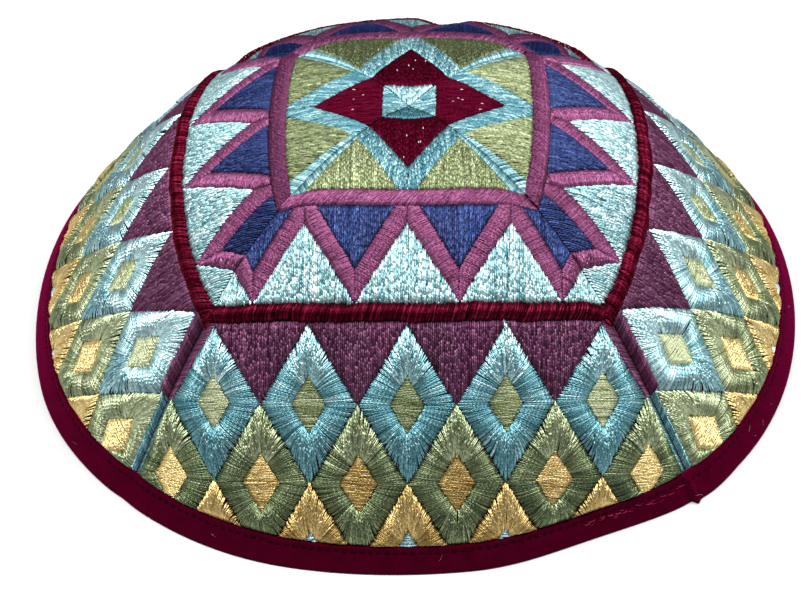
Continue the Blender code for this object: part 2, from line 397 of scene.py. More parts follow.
def trimmed(facing, runs, margin):
    """The runs (start or end, u or w) cut back to the panel; those wholly off it are dropped."""
    shares = np.linspace(0, 1, TRIM_STEPS + 1)
    steps = runs[:, None, 0] + (runs[:, None, 1] - runs[:, None, 0]) * shares[None, :, None]
    held = on_panel(facing, steps[..., 0], steps[..., 1], margin)
    kept = held.sum(axis=1) > 1
    runs, held = runs[kept], held[kept]
    first, last = held.argmax(axis=1), TRIM_STEPS - held[:, ::-1].argmax(axis=1)
    cut = []
    before, after = np.maximum(first - 1, 0), np.minimum(last + 1, TRIM_STEPS)
    for inner, outer in ((first, before), (last, after)):
        near, far = shares[inner], shares[outer]
        for _ in range(TRIM_HALVINGS):
            middle = (near + far) / 2
            place = runs[:, 0] + (runs[:, 1] - runs[:, 0]) * middle[:, None]
            good = on_panel(facing, place[:, 0], place[:, 1], margin)
            near, far = np.where(good, middle, near), np.where(good, far, middle)
        near = np.where(inner == outer, shares[inner], near)
        cut.append(runs[:, 0] + (runs[:, 1] - runs[:, 0]) * near[:, None])
    return np.stack(cut, axis=1)


def scan(corners, angle, spacing):
    """Runs of thread across a polygon of (u, w) corners, at an angle in degrees from the u axis."""
    corners = np.array(corners, float)
    along = np.array([math.cos(math.radians(angle)), math.sin(math.radians(angle))])
    aside = np.array([-along[1], along[0]])
    reach, offset = corners @ along, corners @ aside
    runs = []
    level = offset.min() + spacing * rng.uniform(0.3, 0.7)
    while level < offset.max():
        crossings = []
        for here in range(len(corners)):
            after = (here + 1) % len(corners)
            if (offset[here] > level) != (offset[after] > level):
                part = (level - offset[here]) / (offset[after] - offset[here])
                crossings.append(reach[here] + part * (reach[after] - reach[here]))
        crossings.sort()
        for low, high in zip(crossings[::2], crossings[1::2]):
            runs.append((low * along + level * aside, high * along + level * aside))
        level += spacing * rng.uniform(0.9, 1.1)
    return np.array(runs).reshape(-1, 2, 2)


def threads_mesh(name, places, quads, tones):
    """A mesh of many threads (thread, section, point, 3), each with a tone for its colour."""
    mesh = bpy.data.meshes.new(name)
    mesh.from_pydata(places.reshape(-1, 3), [], quads)
    tone = mesh.attributes.new("tone", "FLOAT", "POINT")
    points = places.shape[1] * places.shape[2]
    tone.data.foreach_set("value", np.repeat(tones, points).astype(np.float32))
    mesh.shade_smooth()
    return mesh


class Skein:
    """The stitches of one colour in one part of the pattern, kept until they become a mesh."""

    def __init__(self, name, thread, width, sections=5, slot="embroidered_panel"):
        self.name, self.thread, self.width = name, thread, width
        self.sections, self.slot = sections, slot
        self.stitches = []

    def fill(self, facing, corners, angle, spacing, **manner):
        self.lay(facing, scan(corners, angle, spacing), **manner)

    def lay(self, facing, runs, longest=99.0, pad=0.3, flatness=2.0, ragged=0.12, margin=0.2,
            lift=0.0, shade=0.0, uneven=RUN_TONE):
        """Stitches along the runs, none longer than `longest`, over a padding `pad` high, in mm."""
        if not len(runs):
            return
        length = np.linalg.norm(runs[:, 1] - runs[:, 0], axis=1)
        runs, length = runs[length > SHORTEST_RUN], length[length > SHORTEST_RUN]
        way = (runs[:, 1] - runs[:, 0]) / length[:, None]
        stretch = rng.uniform(-ragged, 2 * ragged, (len(runs), 2))
        starts, ends = runs[:, 0] - way * stretch[:, :1], runs[:, 1] + way * stretch[:, 1:]
        for start, end in trimmed(facing, np.stack([starts, ends], axis=1), margin):
            whole = np.linalg.norm(end - start)
            if whole < SHORTEST_STITCH:
                continue
            # shade is painted light and shade, a tone shift for how light falls here; the rest is
            # random.
            tone = shade + rng.normal(0, uneven)
            height = pad * min(1, whole / FULL_PAD_LENGTH)
            cuts = [0.0]
            while whole * (1 - cuts[-1]) > longest:
                cuts.append(cuts[-1] + rng.uniform(0.3, 1.0) * longest / whole)
            cuts.append(1.0)
            for low, high in zip(cuts[:-1], cuts[1:]):
                low, high = max(low - OVERLAP / whole, 0), min(high + OVERLAP / whole, 1)
                near, far = start + (end - start) * low, start + (end - start) * high
                self.stitches.append((facing, *near, *far, low, high, height, flatness, lift,
                                      tone + rng.normal(0, STITCH_TONE), rng.normal(0, 1),
                                      rng.normal(0, 1), rng.uniform(0.9, 1.12)))

    def make(self):
        """One ribbon for each stitch. Its ends dive into the cloth, and its middle arches."""
        columns = np.array(self.stitches).T[:, :, None]
        facing, start_u, start_w, end_u, end_w, low, high = columns[:7]
        height, flatness, lift, tone, sway, looseness, swell = columns[7:]
        count, sections = len(tone), self.sections
        inner = np.linspace(END_SHARE, 1 - END_SHARE, sections - 2)
        share = np.array([[0, *inner, 1]])
        at_end = (share == 0) | (share == 1)
        bow = 4 * share * (1 - share)
        length = np.hypot(end_u - start_u, end_w - start_w)
        aside_u, aside_w = (start_w - end_w) / length, (end_u - start_u) / length
        centre_u = start_u + (end_u - start_u) * share + aside_u * STITCH_BOW * sway * bow
        centre_w = start_w + (end_w - start_w) * share + aside_w * STITCH_BOW * sway * bow
        run_share = low + (high - low) * share
        crest = lift + STITCH_BASE + height * (1 - np.abs(2 * run_share - 1) ** flatness)
        crest = crest + STITCH_ARCH * bow * np.minimum(length / FULL_ARCH_LENGTH, 1)
        crest = crest + STITCH_LOOSENESS * looseness - DIVE * at_end
        width = self.width * swell * np.where(at_end, END_TAPER, 1)
        places = []
        for side in (-1, 0, 1):
            step = side * width / 2
            azimuth, down = row_place(centre_u + aside_u * step, centre_w + aside_w * step)
            above = (crest - abs(side) * STITCH_CROWN * width) * MM
            places.append(crown(azimuth + facing * PANEL_ANGLE, down, above))
        numbers = np.arange(count * sections * 3).reshape(count, sections, 3)
        quads = np.stack([numbers[:, :-1, :-1], numbers[:, :-1, 1:], numbers[:, 1:, 1:],
                          numbers[:, 1:, :-1]], -1).reshape(-1, 4)
        mesh = threads_mesh(self.name, np.stack(places, axis=2), quads, tone)
        across = np.broadcast_to(np.array([0.0, 0.5, 1.0]), numbers.shape)
        along = np.broadcast_to((share * length)[..., None], numbers.shape)
        cells = int(math.ceil(math.sqrt(count / 4)))
        cell = np.arange(count)[:, None, None]
        cell_u = cell % cells + BAKE_GAP_ALONG + (1 - 2 * BAKE_GAP_ALONG) * share[..., None]
        cell_v = cell // cells + BAKE_GAP_ACROSS + (1 - 2 * BAKE_GAP_ACROSS) * across
        cell_u = np.broadcast_to(cell_u, numbers.shape) / cells
        cell_v = cell_v / math.ceil(count / cells)
        for layer, flat in (("ply", (along, across)), ("OFBake", (cell_u, cell_v))):
            flat = np.stack(flat, -1).reshape(-1, 2)
            mesh.uv_layers.new(name=layer).data.foreach_set("uv", flat[quads.ravel()].ravel())
        return place_piece(self.name, mesh, self.thread)


GRAIN = 0.6
GRAIN_SCALE = 2100.0
DARKEST_TONE = -2.0
LIGHTEST_TONE = 2.2
TWIST_ALONG = 8.0
TWIST_ACROSS = 4.0
PLY_RELIEF = 0.00003


def rayon(name, dark, middle, light, roughness=0.50, shine=0.85):
    """Dyed rayon: two plies twisted together, uneven from stitch to stitch, with a silky shine."""

    def dress(wire):
        place = wire.node("TexCoord", {}, {}, 3)
        grain = wire.node("TexNoise", {}, {"Vector": place, "Scale": GRAIN_SCALE, "Detail": 2.0})
        tone = wire.node("Attribute", {"attribute_name": "tone"}, {}, 2)
        # The tone carries random unevenness and the painted light and shade laid with the stitches.
        tone = tone + grain.spread(0.3, 0.7, -GRAIN, GRAIN)
        lower = tone.spread(DARKEST_TONE, 0.0).blend((*dark, 1), (*middle, 1))
        colour = tone.spread(0.0, LIGHTEST_TONE).blend(lower, (*light, 1))
        ply = wire.node("UVMap", {"uv_map": "ply"}, {})
        along, across = (wire.node("SeparateXYZ", {}, {0: ply}, part) for part in (0, 1))
        twist = wire.maths("SINE", along * TWIST_ALONG + across * TWIST_ACROSS)
        relief = {"Height": twist, "Distance": PLY_RELIEF, "Strength": 0.6}
        return {"Base Color": colour, "Normal": wire.node("Bump", {}, relief)}

    tint = [channel / max(light) for channel in light]
    return textile(name, dress, {"Roughness": roughness, "Metallic": shine,
                                 "Specular IOR Level": 0.2, "Specular Tint": (*tint, 1)})


def mirrored(corners):
    return [(-u, w) for u, w in corners]


# The crown's middle: an aqua square under the crossing seams, in a four-pointed star of wine red
# with a broad aqua outline, on an olive field. All of it is filled with rows of short stitches that
# run down from the centre, and an aqua strip covers each seam allowance.
AQUA = (0.06, 0.18, 0.22), (0.31, 0.52, 0.545), (0.80, 0.93, 0.93)
OLIVE = (0.08, 0.10, 0.05), (0.22, 0.26, 0.13), (0.52, 0.57, 0.36)
WINE = (0.025, 0.0003, 0.003), (0.060, 0.0015, 0.010), (0.11, 0.004, 0.024)
aqua_thread = rayon("aqua_thread", *AQUA)
olive_thread = rayon("olive_thread", *OLIVE)
wine_thread = rayon("wine_thread", *WINE)
bobbin_thread = rayon("bobbin_thread", (0.5, 0.45, 0.42), (0.7, 0.68, 0.62), (0.9, 0.9, 0.85))
SQUARE = 5.6
STAR_WAIST = 8.3
STAR_TIP = 20.5
OUTLINE_WAIST = 11.5
OUTLINE_TIP = 1.85
FIELD = 26.4
FIELD_CORNER = 21.5
OUTLINE_TUCK = 0.4
STRIP_REACH = 1.6
FILL_SPACING = 0.40
SATIN_SPACING = 0.36
SPECKS = 12
SPECK_LIFT = 0.46
PAINTED_LIGHT_AND_SHADE = {
    # painted light and shade: tone on the front, right, back and left panel as the light falls
    "square": (-5.0, -1.2, 0.0, -1.4),
    "outline": (-1.5, -1.6, -1.0, -1.7),
    "field": (0.1, 0.0, -1.8, -0.8),
    "frame": (-0.1, -1.7, -1.2, -2.4),
    "points": (0.3, 0.4, -1.2, 0.1),
    "zigzag": (0.0, 0.0, -2.4, 0.0),
    "blue": (0.0, -0.3, -2.0, -1.1),
    "ring_sides": (-0.7, 0.9, 0.0, 1.1),
    "ring_tips": (0.0, 0.9, 0.0, 1.1),
    "cores": (-0.3, 1.4, 0.0, 1.4),
    "shaded_mauve": (0.5, 0.6, 0.0, 0.8),
    "half_band": (0.8, -0.2, 0.0, -0.2),
}
aqua_star = Skein("stitches_aqua_star", aqua_thread, 0.38)
wine_star = Skein("stitches_wine_star", wine_thread, 0.33)
olive_field = Skein("stitches_olive_field", olive_thread, 0.40)
bobbin_specks = Skein("stitches_bobbin_specks", bobbin_thread, 0.16)
for facing in FACINGS.values():
    square = [(0, 0), (SQUARE, SQUARE), (-SQUARE, SQUARE)]
    aqua_star.fill(facing, square, 84, SATIN_SPACING, longest=2.4, pad=0.25, margin=0.1,
                   shade=PAINTED_LIGHT_AND_SHADE["square"][facing])
    star = [(SQUARE, SQUARE), (STAR_WAIST, STAR_WAIST), (0, STAR_TIP),
            (-STAR_WAIST, STAR_WAIST), (-SQUARE, SQUARE)]
    wine_star.fill(facing, star, 86, 0.34, longest=2.2, pad=0.3, flatness=6, margin=0.08)
    outline = [(STAR_WAIST, STAR_WAIST), (OUTLINE_WAIST, OUTLINE_WAIST), (OUTLINE_TIP, FIELD),
               (0, FIELD), (0, STAR_TIP)]
    for half, angle in ((outline, 84), (mirrored(outline), 96)):
        aqua_star.fill(facing, half, angle, SATIN_SPACING, longest=2.2, pad=0.3, flatness=4,
                       margin=0.06, shade=PAINTED_LIGHT_AND_SHADE["outline"][facing])
    strip = [(OUTLINE_WAIST - STRIP_REACH, OUTLINE_WAIST - OUTLINE_TUCK),
             (OUTLINE_WAIST + 1, OUTLINE_WAIST - OUTLINE_TUCK),
             (FIELD + STRIP_REACH, FIELD + 1), (FIELD_CORNER, FIELD)]
    for half, angle in ((strip, 112), (mirrored(strip), 68)):
        # Painted shade: these strips over the seams are laid darker, for the shade in the seam's
        # crease.
        aqua_star.fill(facing, half, angle, 0.34, longest=3.0, pad=0.25, margin=0.05, shade=-0.8)
    field = [(OUTLINE_WAIST - 0.9, OUTLINE_WAIST), (FIELD_CORNER + 0.2, FIELD),
             (OUTLINE_TIP, FIELD)]
    for half in (field, mirrored(field)):
        olive_field.fill(facing, half, 90, FILL_SPACING, longest=1.7, pad=0.3, flatness=6,
                         margin=0.12, shade=PAINTED_LIGHT_AND_SHADE["field"][facing])
    # Here and there a loop of the white bobbin thread has been pulled up through the cloth.
    places = np.stack([rng.uniform(-6, 6, SPECKS), rng.uniform(8, 24, SPECKS)], -1)
    places[:, 0] *= np.minimum(places[:, 1] / 16, 1.2)
    steps = np.stack([rng.normal(0, 0.12, SPECKS), rng.uniform(0.4, 0.75, SPECKS)], -1)
    bobbin_specks.lay(facing, np.stack([places, places + steps], axis=1), pad=0.0,
                      lift=SPECK_LIFT, ragged=0.02)

# The square frame round the star: a mauve band of slanted satin stitch, one length on each panel,
# with its corners mitred at the seams.
MAUVE = (0.12, 0.032, 0.08), (0.24, 0.072, 0.165), (0.40, 0.15, 0.30)
mauve_thread = rayon("mauve_thread", *MAUVE)
FRAME_OUTER = 30.3
FRAME_TOP_HALF = 24.8
FRAME_BOTTOM_HALF = 28.0
MAUVE_WIDTH = 0.27
mauve_frame = Skein("stitches_mauve_frame", mauve_thread, MAUVE_WIDTH)
for facing in FACINGS.values():
    band = [(-FRAME_TOP_HALF, FIELD), (FRAME_TOP_HALF, FIELD),
            (FRAME_BOTTOM_HALF, FRAME_OUTER), (-FRAME_BOTTOM_HALF, FRAME_OUTER)]
    mauve_frame.fill(facing, band, -54, 0.24, longest=2.8, pad=0.45, ragged=0.08, margin=0.08,
                     shade=PAINTED_LIGHT_AND_SHADE["frame"][facing])

# Points inside the ridge: tall aqua triangles stand on the ridge, blue ones hang from the frame,
# and a mauve satin zigzag runs between them.
BLUE = (0.012, 0.019, 0.068), (0.035, 0.053, 0.155), (0.085, 0.13, 0.33)
blue_thread = rayon("blue_thread", *BLUE)
POINT_PITCH = 21.33
AQUA_APEX = 34.4
RIDGE_TOP_EDGE = 51.9
BLUE_HALF = 8.15
BLUE_TIP = 44.6
aqua_points = Skein("stitches_aqua_points", aqua_thread, 0.40)
blue_points = Skein("stitches_blue_points", blue_thread, 0.40)
mauve_zigzag = Skein("stitches_mauve_zigzag", mauve_thread, MAUVE_WIDTH)
half = POINT_PITCH / 2
for facing in FACINGS.values():
    for step in range(-2, 3):
        middle = step * POINT_PITCH
        aqua = [(middle, AQUA_APEX), (middle + half, RIDGE_TOP_EDGE),
                (middle - half, RIDGE_TOP_EDGE)]
        aqua_points.fill(facing, aqua, 90, FILL_SPACING, longest=3.0, pad=0.35, flatness=5,
                         ragged=0.25, margin=0.08, shade=PAINTED_LIGHT_AND_SHADE["points"][facing])
        right = [(middle, FRAME_OUTER), (middle + half - BLUE_HALF, FRAME_OUTER),
                 (middle + half, BLUE_TIP), (middle + half, RIDGE_TOP_EDGE), (middle, AQUA_APEX)]
        left = [(2 * middle - u, w) for u, w in right]
        for arm, angle in ((right, -32), (left, 32)):
            mauve_zigzag.fill(facing, arm, angle, 0.25, longest=3.2, pad=0.45, ragged=0.1,
                              margin=0.1, shade=PAINTED_LIGHT_AND_SHADE["zigzag"][facing])
        if step < 2:
            middle += half
            blue = [(middle - BLUE_HALF, FRAME_OUTER), (middle + BLUE_HALF, FRAME_OUTER),
                    (middle, BLUE_TIP)]
            blue_points.fill(facing, blue, 90, FILL_SPACING, longest=3.0, pad=0.3, flatness=5,
                             margin=0.06, shade=PAINTED_LIGHT_AND_SHADE["blue"][facing])

# Outside the ridge: a lattice of diamonds worked as broad satin rings round small fields. Aqua
# rings come first, with points of darker mauve between them and the ridge, then olive rings, then
# tan ones, cut short by the rim tape. A band of darker mauve and then an aqua one cover each seam
# allowance. The darker mauve is painted shade, the frame's mauve thread darkened.
# Painted shade: the ring threads are darker copies of the aqua and olive threads.
AQUA_SATIN_PAINTED_SHADE = (0.05, 0.17, 0.21), (0.17, 0.37, 0.41), (0.64, 0.86, 0.88)
OLIVE_SATIN_PAINTED_SHADE = (0.06, 0.085, 0.045), (0.18, 0.225, 0.115), (0.52, 0.58, 0.37)
TAN = (0.21, 0.13, 0.04), (0.42, 0.29, 0.10), (0.85, 0.67, 0.31)
# Painted shade: this thread is the frame's mauve, darkened.
MAUVE_PAINTED_SHADE = (0.035, 0.010, 0.024), (0.10, 0.032, 0.072), (0.25, 0.10, 0.19)
aqua_satin_painted_shade = rayon("aqua_satin_painted_shade", *AQUA_SATIN_PAINTED_SHADE, roughness=0.40, shine=0.9)
olive_satin_painted_shade = rayon("olive_satin_painted_shade", *OLIVE_SATIN_PAINTED_SHADE, roughness=0.40, shine=0.9)
tan_thread = rayon("tan_thread", *TAN, roughness=0.4)
mauve_painted_shade_thread = rayon("mauve_painted_shade_thread", *MAUVE_PAINTED_SHADE)
RING_PITCH = 20.35
RING_HALF = 16.7
RIDGE_LOW_EDGE = 55.5
RING_ROWS = (72.9, 89.6, 106.3)
RING_TURN = (
    # way from the side corner to the tip, thread's angle in degrees
    (0.00, 0.0),
    (0.20, 16.0),
    (0.40, 30.0),
    (0.55, 46.0),
    (0.68, 68.0),
    (0.80, 84.0),
    (1.00, 90.0),
)
RING_THREADS = 52
RING_SIDE_THREADS = int(RING_THREADS * 0.55)
RING_SIDE_PAINTED_SHADE = 0.25
RING_TIP_PAINTED_SHADE = 0.6
CORE_PAINTED_LIGHT = 0.5


def ring_quarter(core_half, core_height):
    """Runs from the inner to the outer edge of a quarter ring, turning from level to upright."""
    outer_half, outer_height = RING_PITCH / 2, RING_HALF
    widest, highest = (outer_half + core_half) / 2, (outer_height + core_height) / 2
    runs = []
    for step in range(RING_THREADS):
        way = (step + rng.uniform(0.3, 0.7)) / RING_THREADS
        place = np.array([widest * (1 - way), highest * way])
        angle = math.radians(np.interp(way, *np.array(RING_TURN).T) + rng.normal(0, 1.6))
        along = np.array([math.cos(angle), math.sin(angle)])
        ends = []
        for half, height in ((core_half, core_height), (outer_half, outer_height)):
            slope = np.array([1 / half, 1 / height])
            ends.append(place + along * (1 - place @ slope) / (along @ slope))
        near, far = ends
        for axis in (0, 1):
            if near[axis] < 0:
                near = near + along * (-near[axis] / along[axis])
        runs.append((near, far))
    return np.array(runs)


def ring(skein, facing, middle, row, core, margin):
    """A satin ring: four quarters, each with long threads at its side and short ones at its tip."""
    for flip_u in (1, -1):
        for flip_w in (1, -1):
            runs = ring_quarter(*core) * (flip_u, flip_w) + (middle, row)
            # Painted light and shade: quarters in the ring's upper half are lighter, in its lower
            # half darker.
            skein.lay(facing, runs[:RING_SIDE_THREADS], longest=8, pad=0.75, ragged=0.15,
                      margin=margin, shade=PAINTED_LIGHT_AND_SHADE["ring_sides"][facing] - RING_SIDE_PAINTED_SHADE * flip_w)
            skein.lay(facing, runs[RING_SIDE_THREADS:], longest=4.4, pad=1.05, ragged=0.2,
                      margin=margin, shade=PAINTED_LIGHT_AND_SHADE["ring_tips"][facing] - RING_TIP_PAINTED_SHADE * flip_w)


def core_field(skein, facing, middle, row, core, angle, margin=0.2):
    half, height = core
    corners = [(middle, row - height), (middle + half, row), (middle, row + height),
               (middle - half, row)]
    # Painted light: cores further from the panel's middle are laid lighter.
    skein.fill(facing, corners, angle, 0.34, longest=4.6, pad=0.3, ragged=0.12, margin=margin,
               shade=PAINTED_LIGHT_AND_SHADE["cores"][facing] + CORE_PAINTED_LIGHT * (middle / RING_PITCH) ** 2)


def seam_reach(w):
    """Half of a row's length, from the panel's middle to the seam, in mm."""
    low, high = np.zeros_like(w), np.full_like(w, 100.0)
    for _ in range(HALVINGS):
        middle = (low + high) / 2
        short = row_place(middle, w)[0] < PANEL_ANGLE / 2
        low, high = np.where(short, middle, low), np.where(short, high, middle)
    return (low + high) / 2


AQUA_CORE = (3.6, 6.4)
OLIVE_CORE = (4.0, 6.6)
SLIVER = (1.3, 2.3, 1.3, 2.3)
SLIVER_SHRINK = 0.7
SLIVER_END = 116
HALF_BAND = (1.2, 3.1, 1.2, 3.1)
RING_MARGIN = (0.5, 2.0, 0.5, 2.0)
SLIVER_MARGIN = 1.5
BAND_ROWS = 12
CORE_WIDTH = 0.34
RING_WIDTH = 0.34
mauve_painted_shade_points = Skein("stitches_plum_points", mauve_painted_shade_thread, 0.38)
aqua_rings = Skein("stitches_aqua_rings", aqua_satin_painted_shade, RING_WIDTH, 6)
olive_rings = Skein("stitches_olive_rings", olive_satin_painted_shade, RING_WIDTH, 6)
tan_rings = Skein("stitches_tan_rings", tan_thread, RING_WIDTH, 6)
olive_cores = Skein("stitches_olive_cores", olive_thread, CORE_WIDTH)
tan_cores = Skein("stitches_tan_cores", tan_thread, CORE_WIDTH)
aqua_cores = Skein("stitches_aqua_cores", aqua_thread, CORE_WIDTH)
seam_slivers = Skein("stitches_seam_slivers", aqua_satin_painted_shade, 0.36)
first_row, second_row, third_row = RING_ROWS
tip = first_row - RING_HALF
sliver_rows = np.linspace(first_row - 0.3, SLIVER_END, BAND_ROWS)
half_band_rows = np.linspace(RIDGE_LOW_EDGE, first_row, BAND_ROWS)
for facing in FACINGS.values():
    for side in (1, -1):
        reach = seam_reach(sliver_rows)
        width = SLIVER[facing] * np.linspace(1, SLIVER_SHRINK, BAND_ROWS)
        strip = list(zip(side * (reach + 0.5), sliver_rows))
        strip += list(zip(side * (reach - width), sliver_rows))[::-1]
        # Painted shade: the slivers over the seams are laid darker, for the shade in the seam's
        # crease.
        seam_slivers.fill(facing, strip, side * 22, 0.34, pad=0.35, ragged=0.03, margin=0.1,
                          lift=-0.2, shade=-0.8)
        reach = seam_reach(half_band_rows)
        last_ring = 2 * RING_PITCH + (half_band_rows - tip) * RING_PITCH / 2 / RING_HALF
        inner = np.minimum(last_ring, reach - HALF_BAND[facing])
        band = list(zip(side * (reach + 0.5), half_band_rows))
        band += list(zip(side * inner, half_band_rows))[::-1]
        mauve_painted_shade_points.fill(facing, band, side * 12, 0.32, pad=0.5, ragged=0.05, margin=0.1,
                         shade=PAINTED_LIGHT_AND_SHADE["half_band"][facing])
    for step in range(-2, 2):
        left, right = step * RING_PITCH, (step + 1) * RING_PITCH
        shaded_mauve = [(left, RIDGE_LOW_EDGE), (right, RIDGE_LOW_EDGE), (right, tip),
                ((left + right) / 2, first_row), (left, tip)]
        mauve_painted_shade_points.fill(facing, shaded_mauve, 90, FILL_SPACING, longest=3.6, pad=0.35, flatness=5,
                         ragged=0.15, shade=PAINTED_LIGHT_AND_SHADE["shaded_mauve"][facing])
    for step in range(-2, 3):
        middle = step * RING_PITCH
        ring(aqua_rings, facing, middle, first_row, AQUA_CORE, RING_MARGIN[facing])
        core_field(olive_cores, facing, middle, first_row, AQUA_CORE, rng.uniform(-6, 10))
    margin = SLIVER_MARGIN * SLIVER[facing] / SLIVER[FACINGS["right"]]
    for step in range(-3, 3):
        middle = (step + 0.5) * RING_PITCH
        ring(olive_rings, facing, middle, second_row, OLIVE_CORE, margin)
        core_field(tan_cores, facing, middle, second_row, OLIVE_CORE, rng.uniform(-6, 10), margin)
    for step in range(-3, 4):
        middle = step * RING_PITCH
        ring(tan_rings, facing, middle, third_row, OLIVE_CORE, margin)
        core_field(aqua_cores, facing, middle, third_row, OLIVE_CORE, rng.uniform(-4, 4), margin)

for skein in (aqua_star, wine_star, olive_field, mauve_frame, aqua_points, blue_points,
              mauve_zigzag, mauve_painted_shade_points, aqua_rings, olive_rings, tan_rings, olive_cores,
              tan_cores, aqua_cores, seam_slivers, bobbin_specks):
    skein.make()

# The raised ridge: a thick cotton cord couched along each panel and covered with close, slanted
# crimson satin. The four ridges meet in corners on the seams, in a square round the crown.
RIDGE_FROM_CENTRE = 53.7
RIDGE_WIDTH = 4.0
RIDGE_HEIGHT = 1.0
RIDGE_REACH = 46.0
RIDGE_SHORT = (0.4, -2.0, 0.4, -2.0)
CRIMSON = (0.014, 0.0003, 0.002), (0.062, 0.002, 0.010), (0.21, 0.013, 0.040)
crimson_thread = rayon("crimson_thread", *CRIMSON, roughness=0.46)


def ridge_wander(facing, u):
    """How far the hand-guided cord strays from its line, in mm."""
    return 0.22 * np.sin(0.31 * u + 2.1 * facing) + 0.13 * np.sin(0.83 * u + 4.4 * facing)


CORD_COLUMNS = 97
CORD_SIDES = 14
CORD_INSET = 0.35
CORD_DROP = 0.1
CORD_END = 0.7


def ridge_core(facing):
    """Places round the cord, in a ring of points for every column along the panel."""
    across = np.linspace(-RIDGE_REACH, RIDGE_REACH, CORD_COLUMNS)
    angle = np.linspace(0, 2 * np.pi, CORD_SIDES, endpoint=False)[:, None]
    w = RIDGE_FROM_CENTRE + ridge_wander(facing, across)
    w = w + (RIDGE_WIDTH / 2 - CORD_INSET) * np.cos(angle)
    lift = np.where(np.sin(angle) > 0, RIDGE_HEIGHT - CORD_DROP, CORD_DROP) * np.sin(angle)
    u, w, lift = np.broadcast_arrays(across, w, lift)
    azimuth, down = row_place(u, w)
    inner = PANEL_ANGLE / 2 - (RIDGE_SHORT[facing] + CORD_END) * MM / circle_radius(down)
    azimuth = np.clip(azimuth, -inner, inner)
    return crown(azimuth + facing * PANEL_ANGLE, down, lift * MM), np.stack([u, w], -1) * MM


RIDGE_DARK = (0.02, 0.0004, 0.003)
RIDGE_LIGHT = (0.04, 0.0008, 0.006)
STRAND_SPACING = 0.23
STRAND_SLANT = 0.6
ridge_cotton = textile("ridge_cotton", plain_weave(RIDGE_DARK, RIDGE_LIGHT, 0.0004),
                       {"Roughness": 0.9, "Specular IOR Level": 0.0})
ridge_strands = Skein("ridge_strands", crimson_thread, 0.30, 9, "ridge_satin")
top, bottom = RIDGE_FROM_CENTRE - RIDGE_WIDTH / 2, RIDGE_FROM_CENTRE + RIDGE_WIDTH / 2
for side, facing in FACINGS.items():
    places, flat = ridge_core(facing)
    mesh = grid_mesh(f"ridge_cord_{side}", places, loops_along=True, flat=flat)
    place_piece(f"ridge_cord_{side}", mesh, ridge_cotton, [f"ridge_{side}"])
    places = np.arange(-RIDGE_REACH - 2, RIDGE_REACH + 2, STRAND_SPACING)
    places = places + rng.normal(0, 0.05, len(places))
    slant = STRAND_SLANT + rng.normal(0, 0.18, len(places))
    stray = ridge_wander(facing, places)
    swell = 0.1 * np.sin(0.57 * places + facing) + rng.normal(0, 0.07, len(places))
    runs = np.array([places + slant, top + stray - swell, places - slant, bottom + stray + swell])
    ridge_strands.lay(facing, runs.T.reshape(-1, 2, 2), pad=1.15, flatness=2.4, ragged=0.06,
                      margin=RIDGE_SHORT[facing], lift=0.1, uneven=0.9)
ridge_strands.make()

# The rim: cotton tape folded over the panels' raw edges and topstitched close to its upper edge.
# Its turned end laps over its start at the front right.
LAP_AZIMUTH = math.radians(44)
LAP_LENGTH = 0.014
LAP_THICKNESS = 0.0007
FOLD_ROUND = 0.0006
TAPE_DARK = (0.030, 0.0001, 0.0045)
TAPE_LIGHT = (0.068, 0.0006, 0.012)
TAPE_FUZZ = (0.75, 0.02, 0.2)
tape_cotton = textile("tape_cotton", plain_weave(TAPE_DARK, TAPE_LIGHT, 0.0004),
                      {"Roughness": 0.9, "Specular IOR Level": 0.0, "Sheen Weight": 0.45,
                       "Sheen Roughness": 0.4, "Sheen Tint": (*TAPE_FUZZ, 1)})
TOPSTITCHES = 292
COLUMNS_A_STITCH = 4
TOPSTITCH_UP = TAPE_WIDTH - 0.0010
TOPSTITCH_PRESS = 0.00016
PRESS_REACH = 0.0005
END_FOLD = 0.0005
END_FOLD_REACH = 0.0016
TOUCHES_FLOOR = 1e-9
OUTER_LEG = (0.0054, 0.0052, 0.0050, 0.0048, 0.0045, 0.0040, 0.0030, 0.0018)
INNER_LEG = (0.3, 0.5, 0.75)


def lap_lift(azimuth):
    """How far the tape stands off where its turned end laps over its start."""
    past = (azimuth - LAP_AZIMUTH) % (2 * np.pi) * RIM_RADIUS
    wedge = LAP_THICKNESS * np.maximum(1 - past / LAP_LENGTH, 0)
    return wedge + END_FOLD * bell(past, END_FOLD_REACH)


